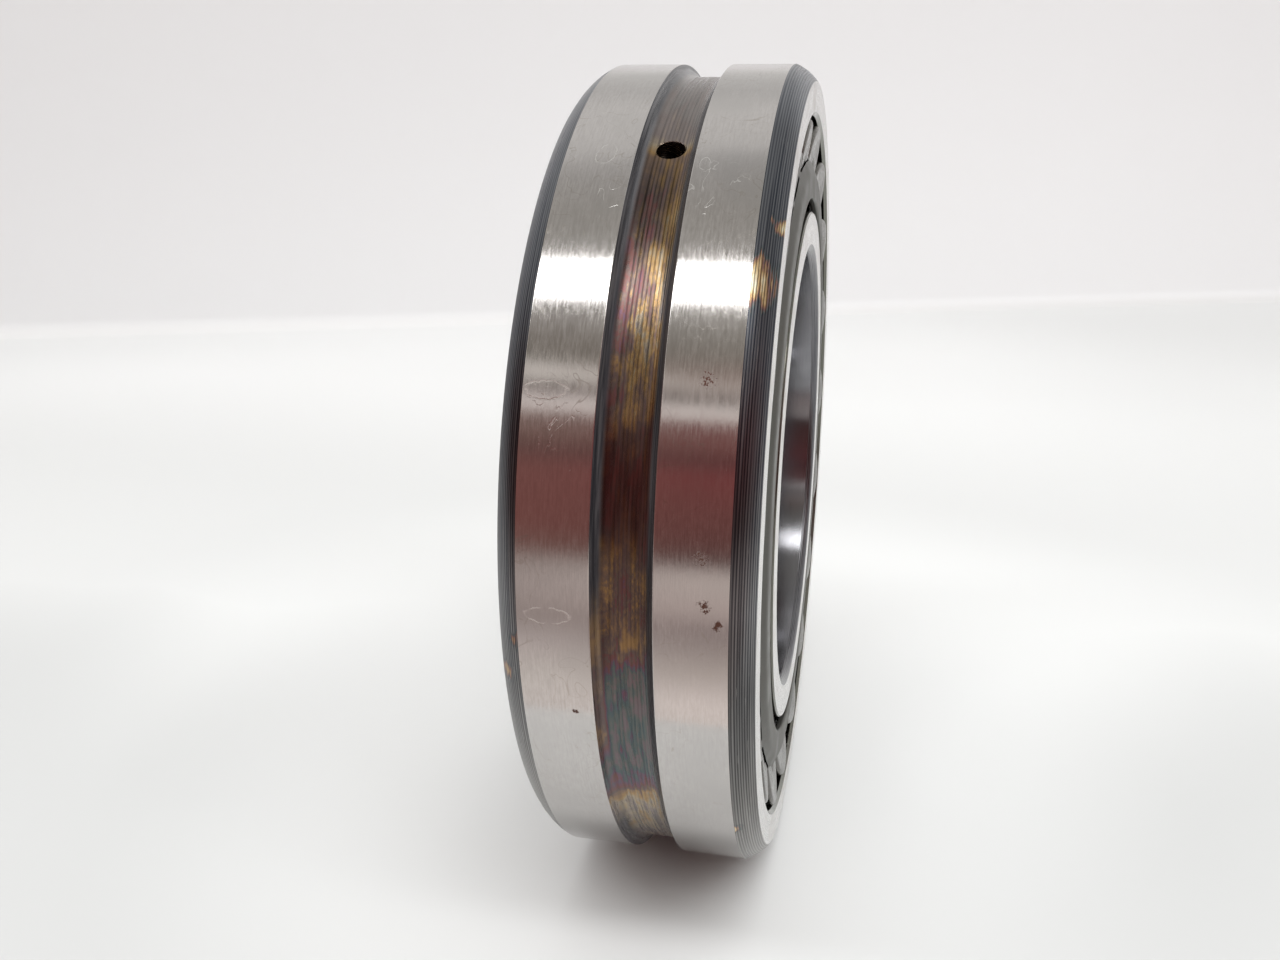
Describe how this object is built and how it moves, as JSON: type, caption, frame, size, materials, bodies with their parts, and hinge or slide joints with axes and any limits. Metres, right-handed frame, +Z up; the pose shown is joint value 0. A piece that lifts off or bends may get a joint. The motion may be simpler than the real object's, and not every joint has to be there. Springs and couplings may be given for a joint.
{
  "type": "spherical roller bearing",
  "caption": "Self-aligning roller bearing: a grooved outer ring around barrel rollers in pressed cages, a loose guide ring and an inner ring that turns and swivels.",
  "frame": {"origin": "centre of the bearing: on its axis, midway between its two faces", "axes": "+Y along the bearing's axis, +Z up, so the bearing stands on its rim; +X to the side"},
  "size_m": [0.18, 0.046, 0.18],
  "materials": {
    "outer_ring": "ground satin lands, turned dark chamfers, heat-tinted groove",
    "inner_ring": "fine ground",
    "guide_ring": "turned, lightly oiled",
    "cage": "pressed sheet, matt grey-green phosphate",
    "roller": "superfinished, near mirror"
  },
  "bodies": {
    "outer_ring": {"outer_ring": "outer_ring"},
    "inner_ring": {"inner_ring": "inner_ring"},
    "guide_ring": {"guide_ring": "guide_ring"},
    "cage_right": {"cage_right": "cage"},
    "cage_left": {"cage_left": "cage"},
    "roller_right_01": {"roller_right_01": "roller"},
    "roller_right_02": {"roller_right_02": "roller"},
    "roller_right_03": {"roller_right_03": "roller"},
    "roller_right_04": {"roller_right_04": "roller"},
    "roller_right_05": {"roller_right_05": "roller"},
    "roller_right_06": {"roller_right_06": "roller"},
    "roller_right_07": {"roller_right_07": "roller"},
    "roller_right_08": {"roller_right_08": "roller"},
    "roller_right_09": {"roller_right_09": "roller"},
    "roller_right_10": {"roller_right_10": "roller"},
    "roller_right_11": {"roller_right_11": "roller"},
    "roller_right_12": {"roller_right_12": "roller"},
    "roller_right_13": {"roller_right_13": "roller"},
    "roller_right_14": {"roller_right_14": "roller"},
    "roller_right_15": {"roller_right_15": "roller"},
    "roller_right_16": {"roller_right_16": "roller"},
    "roller_right_17": {"roller_right_17": "roller"},
    "roller_right_18": {"roller_right_18": "roller"},
    "roller_right_19": {"roller_right_19": "roller"},
    "roller_left_01": {"roller_left_01": "roller"},
    "roller_left_02": {"roller_left_02": "roller"},
    "roller_left_03": {"roller_left_03": "roller"},
    "roller_left_04": {"roller_left_04": "roller"},
    "roller_left_05": {"roller_left_05": "roller"},
    "roller_left_06": {"roller_left_06": "roller"},
    "roller_left_07": {"roller_left_07": "roller"},
    "roller_left_08": {"roller_left_08": "roller"},
    "roller_left_09": {"roller_left_09": "roller"},
    "roller_left_10": {"roller_left_10": "roller"},
    "roller_left_11": {"roller_left_11": "roller"},
    "roller_left_12": {"roller_left_12": "roller"},
    "roller_left_13": {"roller_left_13": "roller"},
    "roller_left_14": {"roller_left_14": "roller"},
    "roller_left_15": {"roller_left_15": "roller"},
    "roller_left_16": {"roller_left_16": "roller"},
    "roller_left_17": {"roller_left_17": "roller"},
    "roller_left_18": {"roller_left_18": "roller"},
    "roller_left_19": {"roller_left_19": "roller"}
  },
  "joints": [
    {"name": "swivel", "type": "hinge", "parent": "outer_ring", "child": "guide_ring", "pos_m": [0, 0, 0], "axis": [0, 0, 1], "range_deg": [-2, 2]},
    {"name": "inner_spin", "type": "hinge", "parent": "guide_ring", "child": "inner_ring", "pos_m": [0, 0, 0], "axis": [0, 1, 0], "continuous": true},
    {"name": "cage_right_spin", "type": "hinge", "parent": "guide_ring", "child": "cage_right", "pos_m": [0, 0, 0], "axis": [0, 1, 0], "continuous": true},
    {"name": "cage_left_spin", "type": "hinge", "parent": "guide_ring", "child": "cage_left", "pos_m": [0, 0, 0], "axis": [0, 1, 0], "continuous": true},
    {"name": "roller_right_01_spin", "type": "hinge", "parent": "cage_right", "child": "roller_right_01", "pos_m": [0.06954, 0.01243, 0.0116], "axis": [-0.1713, 0.9848, -0.0286], "continuous": true},
    {"name": "roller_right_02_spin", "type": "hinge", "parent": "cage_right", "child": "roller_right_02", "pos_m": [0.062, 0.01243, 0.03355], "axis": [-0.1527, 0.9848, -0.0826], "continuous": true},
    {"name": "roller_right_03_spin", "type": "hinge", "parent": "cage_right", "child": "roller_right_03", "pos_m": [0.04775, 0.01243, 0.05187], "axis": [-0.1176, 0.9848, -0.1278], "continuous": true},
    {"name": "roller_right_04_spin", "type": "hinge", "parent": "cage_right", "child": "roller_right_04", "pos_m": [0.02832, 0.01243, 0.06456], "axis": [-0.0698, 0.9848, -0.159], "continuous": true},
    {"name": "roller_right_05_spin", "type": "hinge", "parent": "cage_right", "child": "roller_right_05", "pos_m": [0.00582, 0.01243, 0.07026], "axis": [-0.0143, 0.9848, -0.1731], "continuous": true},
    {"name": "roller_right_06_spin", "type": "hinge", "parent": "cage_right", "child": "roller_right_06", "pos_m": [-0.01731, 0.01243, 0.06834], "axis": [0.0426, 0.9848, -0.1683], "continuous": true},
    {"name": "roller_right_07_spin", "type": "hinge", "parent": "cage_right", "child": "roller_right_07", "pos_m": [-0.03856, 0.01243, 0.05902], "axis": [0.095, 0.9848, -0.1454], "continuous": true},
    {"name": "roller_right_08_spin", "type": "hinge", "parent": "cage_right", "child": "roller_right_08", "pos_m": [-0.05563, 0.01243, 0.0433], "axis": [0.137, 0.9848, -0.1067], "continuous": true},
    {"name": "roller_right_09_spin", "type": "hinge", "parent": "cage_right", "child": "roller_right_09", "pos_m": [-0.06668, 0.01243, 0.02289], "axis": [0.1642, 0.9848, -0.0564], "continuous": true},
    {"name": "roller_right_10_spin", "type": "hinge", "parent": "cage_right", "child": "roller_right_10", "pos_m": [-0.0705, 0.01243, 0], "axis": [0.1736, 0.9848, 0], "continuous": true},
    {"name": "roller_right_11_spin", "type": "hinge", "parent": "cage_right", "child": "roller_right_11", "pos_m": [-0.06668, 0.01243, -0.02289], "axis": [0.1642, 0.9848, 0.0564], "continuous": true},
    {"name": "roller_right_12_spin", "type": "hinge", "parent": "cage_right", "child": "roller_right_12", "pos_m": [-0.05563, 0.01243, -0.0433], "axis": [0.137, 0.9848, 0.1067], "continuous": true},
    {"name": "roller_right_13_spin", "type": "hinge", "parent": "cage_right", "child": "roller_right_13", "pos_m": [-0.03856, 0.01243, -0.05902], "axis": [0.095, 0.9848, 0.1454], "continuous": true},
    {"name": "roller_right_14_spin", "type": "hinge", "parent": "cage_right", "child": "roller_right_14", "pos_m": [-0.01731, 0.01243, -0.06834], "axis": [0.0426, 0.9848, 0.1683], "continuous": true},
    {"name": "roller_right_15_spin", "type": "hinge", "parent": "cage_right", "child": "roller_right_15", "pos_m": [0.00582, 0.01243, -0.07026], "axis": [-0.0143, 0.9848, 0.1731], "continuous": true},
    {"name": "roller_right_16_spin", "type": "hinge", "parent": "cage_right", "child": "roller_right_16", "pos_m": [0.02832, 0.01243, -0.06456], "axis": [-0.0698, 0.9848, 0.159], "continuous": true},
    {"name": "roller_right_17_spin", "type": "hinge", "parent": "cage_right", "child": "roller_right_17", "pos_m": [0.04775, 0.01243, -0.05187], "axis": [-0.1176, 0.9848, 0.1278], "continuous": true},
    {"name": "roller_right_18_spin", "type": "hinge", "parent": "cage_right", "child": "roller_right_18", "pos_m": [0.062, 0.01243, -0.03355], "axis": [-0.1527, 0.9848, 0.0826], "continuous": true},
    {"name": "roller_right_19_spin", "type": "hinge", "parent": "cage_right", "child": "roller_right_19", "pos_m": [0.06954, 0.01243, -0.0116], "axis": [-0.1713, 0.9848, 0.0286], "continuous": true},
    {"name": "roller_left_01_spin", "type": "hinge", "parent": "cage_left", "child": "roller_left_01", "pos_m": [0.0705, -0.01243, 0], "axis": [0.1736, 0.9848, 0], "continuous": true},
    {"name": "roller_left_02_spin", "type": "hinge", "parent": "cage_left", "child": "roller_left_02", "pos_m": [0.06668, -0.01243, 0.02289], "axis": [0.1642, 0.9848, 0.0564], "continuous": true},
    {"name": "roller_left_03_spin", "type": "hinge", "parent": "cage_left", "child": "roller_left_03", "pos_m": [0.05563, -0.01243, 0.0433], "axis": [0.137, 0.9848, 0.1067], "continuous": true},
    {"name": "roller_left_04_spin", "type": "hinge", "parent": "cage_left", "child": "roller_left_04", "pos_m": [0.03856, -0.01243, 0.05902], "axis": [0.095, 0.9848, 0.1454], "continuous": true},
    {"name": "roller_left_05_spin", "type": "hinge", "parent": "cage_left", "child": "roller_left_05", "pos_m": [0.01731, -0.01243, 0.06834], "axis": [0.0426, 0.9848, 0.1683], "continuous": true},
    {"name": "roller_left_06_spin", "type": "hinge", "parent": "cage_left", "child": "roller_left_06", "pos_m": [-0.00582, -0.01243, 0.07026], "axis": [-0.0143, 0.9848, 0.1731], "continuous": true},
    {"name": "roller_left_07_spin", "type": "hinge", "parent": "cage_left", "child": "roller_left_07", "pos_m": [-0.02832, -0.01243, 0.06456], "axis": [-0.0698, 0.9848, 0.159], "continuous": true},
    {"name": "roller_left_08_spin", "type": "hinge", "parent": "cage_left", "child": "roller_left_08", "pos_m": [-0.04775, -0.01243, 0.05187], "axis": [-0.1176, 0.9848, 0.1278], "continuous": true},
    {"name": "roller_left_09_spin", "type": "hinge", "parent": "cage_left", "child": "roller_left_09", "pos_m": [-0.062, -0.01243, 0.03355], "axis": [-0.1527, 0.9848, 0.0826], "continuous": true},
    {"name": "roller_left_10_spin", "type": "hinge", "parent": "cage_left", "child": "roller_left_10", "pos_m": [-0.06954, -0.01243, 0.0116], "axis": [-0.1713, 0.9848, 0.0286], "continuous": true},
    {"name": "roller_left_11_spin", "type": "hinge", "parent": "cage_left", "child": "roller_left_11", "pos_m": [-0.06954, -0.01243, -0.0116], "axis": [-0.1713, 0.9848, -0.0286], "continuous": true},
    {"name": "roller_left_12_spin", "type": "hinge", "parent": "cage_left", "child": "roller_left_12", "pos_m": [-0.062, -0.01243, -0.03355], "axis": [-0.1527, 0.9848, -0.0826], "continuous": true},
    {"name": "roller_left_13_spin", "type": "hinge", "parent": "cage_left", "child": "roller_left_13", "pos_m": [-0.04775, -0.01243, -0.05187], "axis": [-0.1176, 0.9848, -0.1278], "continuous": true},
    {"name": "roller_left_14_spin", "type": "hinge", "parent": "cage_left", "child": "roller_left_14", "pos_m": [-0.02832, -0.01243, -0.06456], "axis": [-0.0698, 0.9848, -0.159], "continuous": true},
    {"name": "roller_left_15_spin", "type": "hinge", "parent": "cage_left", "child": "roller_left_15", "pos_m": [-0.00582, -0.01243, -0.07026], "axis": [-0.0143, 0.9848, -0.1731], "continuous": true},
    {"name": "roller_left_16_spin", "type": "hinge", "parent": "cage_left", "child": "roller_left_16", "pos_m": [0.01731, -0.01243, -0.06834], "axis": [0.0426, 0.9848, -0.1683], "continuous": true},
    {"name": "roller_left_17_spin", "type": "hinge", "parent": "cage_left", "child": "roller_left_17", "pos_m": [0.03856, -0.01243, -0.05902], "axis": [0.095, 0.9848, -0.1454], "continuous": true},
    {"name": "roller_left_18_spin", "type": "hinge", "parent": "cage_left", "child": "roller_left_18", "pos_m": [0.05563, -0.01243, -0.0433], "axis": [0.137, 0.9848, -0.1067], "continuous": true},
    {"name": "roller_left_19_spin", "type": "hinge", "parent": "cage_left", "child": "roller_left_19", "pos_m": [0.06668, -0.01243, -0.02289], "axis": [0.1642, 0.9848, -0.0564], "continuous": true}
  ],
  "couplings": [
    {"joint": "cage_right_spin", "follows": "inner_spin", "ratio": 0.42666},
    {"joint": "cage_left_spin", "follows": "inner_spin", "ratio": 0.42666},
    {"joint": "roller_right_01_spin", "follows": "inner_spin", "ratio": -3.2849},
    {"joint": "roller_right_02_spin", "follows": "inner_spin", "ratio": -3.2849},
    {"joint": "roller_right_03_spin", "follows": "inner_spin", "ratio": -3.2849},
    {"joint": "roller_right_04_spin", "follows": "inner_spin", "ratio": -3.2849},
    {"joint": "roller_right_05_spin", "follows": "inner_spin", "ratio": -3.2849},
    {"joint": "roller_right_06_spin", "follows": "inner_spin", "ratio": -3.2849},
    {"joint": "roller_right_07_spin", "follows": "inner_spin", "ratio": -3.2849},
    {"joint": "roller_right_08_spin", "follows": "inner_spin", "ratio": -3.2849},
    {"joint": "roller_right_09_spin", "follows": "inner_spin", "ratio": -3.2849},
    {"joint": "roller_right_10_spin", "follows": "inner_spin", "ratio": -3.2849},
    {"joint": "roller_right_11_spin", "follows": "inner_spin", "ratio": -3.2849},
    {"joint": "roller_right_12_spin", "follows": "inner_spin", "ratio": -3.2849},
    {"joint": "roller_right_13_spin", "follows": "inner_spin", "ratio": -3.2849},
    {"joint": "roller_right_14_spin", "follows": "inner_spin", "ratio": -3.2849},
    {"joint": "roller_right_15_spin", "follows": "inner_spin", "ratio": -3.2849},
    {"joint": "roller_right_16_spin", "follows": "inner_spin", "ratio": -3.2849},
    {"joint": "roller_right_17_spin", "follows": "inner_spin", "ratio": -3.2849},
    {"joint": "roller_right_18_spin", "follows": "inner_spin", "ratio": -3.2849},
    {"joint": "roller_right_19_spin", "follows": "inner_spin", "ratio": -3.2849},
    {"joint": "roller_left_01_spin", "follows": "inner_spin", "ratio": -3.2849},
    {"joint": "roller_left_02_spin", "follows": "inner_spin", "ratio": -3.2849},
    {"joint": "roller_left_03_spin", "follows": "inner_spin", "ratio": -3.2849},
    {"joint": "roller_left_04_spin", "follows": "inner_spin", "ratio": -3.2849},
    {"joint": "roller_left_05_spin", "follows": "inner_spin", "ratio": -3.2849},
    {"joint": "roller_left_06_spin", "follows": "inner_spin", "ratio": -3.2849},
    {"joint": "roller_left_07_spin", "follows": "inner_spin", "ratio": -3.2849},
    {"joint": "roller_left_08_spin", "follows": "inner_spin", "ratio": -3.2849},
    {"joint": "roller_left_09_spin", "follows": "inner_spin", "ratio": -3.2849},
    {"joint": "roller_left_10_spin", "follows": "inner_spin", "ratio": -3.2849},
    {"joint": "roller_left_11_spin", "follows": "inner_spin", "ratio": -3.2849},
    {"joint": "roller_left_12_spin", "follows": "inner_spin", "ratio": -3.2849},
    {"joint": "roller_left_13_spin", "follows": "inner_spin", "ratio": -3.2849},
    {"joint": "roller_left_14_spin", "follows": "inner_spin", "ratio": -3.2849},
    {"joint": "roller_left_15_spin", "follows": "inner_spin", "ratio": -3.2849},
    {"joint": "roller_left_16_spin", "follows": "inner_spin", "ratio": -3.2849},
    {"joint": "roller_left_17_spin", "follows": "inner_spin", "ratio": -3.2849},
    {"joint": "roller_left_18_spin", "follows": "inner_spin", "ratio": -3.2849},
    {"joint": "roller_left_19_spin", "follows": "inner_spin", "ratio": -3.2849}
  ]
}
